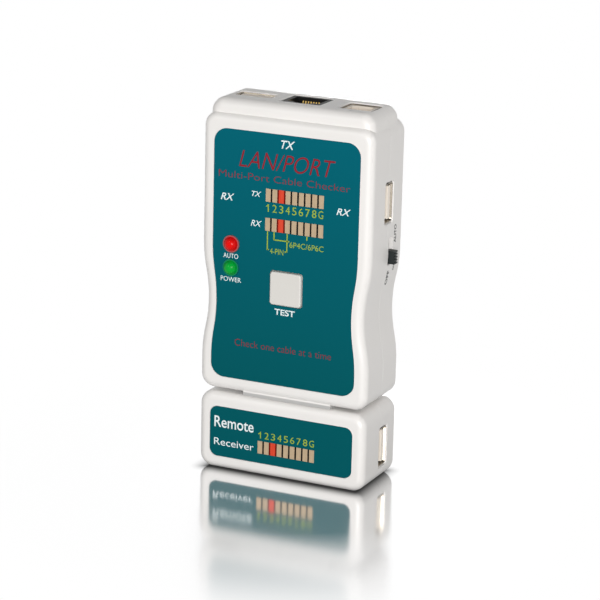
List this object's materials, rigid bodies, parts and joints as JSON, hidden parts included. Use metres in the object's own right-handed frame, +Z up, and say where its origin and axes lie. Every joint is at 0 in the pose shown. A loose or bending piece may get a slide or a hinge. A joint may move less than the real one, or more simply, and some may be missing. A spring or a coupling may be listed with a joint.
{
  "type": "network cable tester",
  "caption": "Handheld network and serial cable tester with waisted casing, light rows, test button, slide switch, sockets and a detachable remote docked under it.",
  "frame": {"origin": "middle of the remote's flat base", "axes": "+Z up to the top sockets, -Y out of the label side, +X to the right as the label is read"},
  "size_m": [0.0672, 0.0302, 0.1352],
  "materials": {
    "casing": "smooth warm-white moulding",
    "label": "teal printed film",
    "button": "light grey moulding",
    "knob": "black moulding",
    "socket_shell": "bright tin plate",
    "socket_plastic": "cream insulator",
    "socket_black": "black housing",
    "contact": "gold plate",
    "lamp_off": "tan diffused lens",
    "lamp_lit": "lit red-orange lens",
    "lamp_red": "red tinted dome",
    "lamp_green": "green tinted dome",
    "spacer": "black comb",
    "board": "green solder mask",
    "chip": "black epoxy",
    "resistor": "black chip",
    "capacitor": "dark blue sleeve",
    "screw": "zinc plated",
    "battery_jacket": "printed film jacket",
    "battery_metal": "nickel plate",
    "snap": "black vinyl",
    "lead_red": "red vinyl",
    "lead_black": "black vinyl",
    "foam": "grey foam",
    "switch_base": "brown laminate"
  },
  "bodies": {
    "main_unit": {"auto_lamp": "lamp_red", "battery": "battery_jacket", "battery_lead_black": "lead_black", "battery_lead_red": "lead_red", "battery_snap": "snap", "battery_terminals": "battery_metal", "board_screws": "screw", "capacitor": "capacitor", "case_screws": "screw", "controller_chip": "chip", "counter_chip": "chip", "main_board": "board", "main_front_shell": "casing", "main_label": "label", "main_rear_shell": "casing", "main_resistors": "resistor", "power_lamp": "lamp_green", "rx_lamp_3": "lamp_lit", "rx_lamp_row": "lamp_off", "rx_lamp_spacers": "spacer", "side_rj45_contacts": "contact", "side_rj45_housing": "socket_black", "side_usb_a_contacts": "contact", "side_usb_a_shell": "socket_shell", "side_usb_a_tongue": "socket_plastic", "slide_switch_base": "switch_base", "slide_switch_frame": "screw", "tact_switch_body": "chip", "top_rj45_contacts": "contact", "top_rj45_housing": "socket_black", "top_usb_a_contacts": "contact", "top_usb_a_shell": "socket_shell", "top_usb_a_tongue": "socket_plastic", "top_usb_b_contacts": "contact", "top_usb_b_insulator": "socket_plastic", "top_usb_b_shell": "socket_shell", "tx_lamp_3": "lamp_lit", "tx_lamp_row": "lamp_off", "tx_lamp_spacers": "spacer"},
    "test_button": {"test_button": "button", "tact_switch_plunger": "chip"},
    "mode_switch": {"slide_switch_knob": "knob"},
    "battery_door": {"battery_door": "casing", "battery_door_pad": "foam"},
    "remote_unit": {"remote_board": "board", "remote_front_shell": "casing", "remote_label": "label", "remote_lamp_3": "lamp_lit", "remote_lamp_row": "lamp_off", "remote_lamp_spacers": "spacer", "remote_rear_shell": "casing", "remote_resistors": "resistor", "remote_rj45_contacts": "contact", "remote_rj45_housing": "socket_black", "remote_screws": "screw", "remote_usb_a_contacts": "contact", "remote_usb_a_shell": "socket_shell", "remote_usb_a_tongue": "socket_plastic"}
  },
  "joints": [
    {"name": "test_button_press", "type": "slide", "parent": "main_unit", "child": "test_button", "axis": [0, 1, 0], "range_m": [0, 0.0005], "stiffness_N_per_m": 3000},
    {"name": "mode_switch_slide", "type": "slide", "parent": "main_unit", "child": "mode_switch", "axis": [0, 0, 1], "range_m": [0, 0.004]},
    {"name": "battery_door_hinge", "type": "hinge", "parent": "main_unit", "child": "battery_door", "pos_m": [-0.0011, 0.014, 0.03495], "axis": [-1, 0, 0], "range_deg": [0, 80]},
    {"name": "remote_dock_slide", "type": "slide", "parent": "main_unit", "child": "remote_unit", "axis": [0, -1, 0], "range_m": [0, 0.024]}
  ]
}
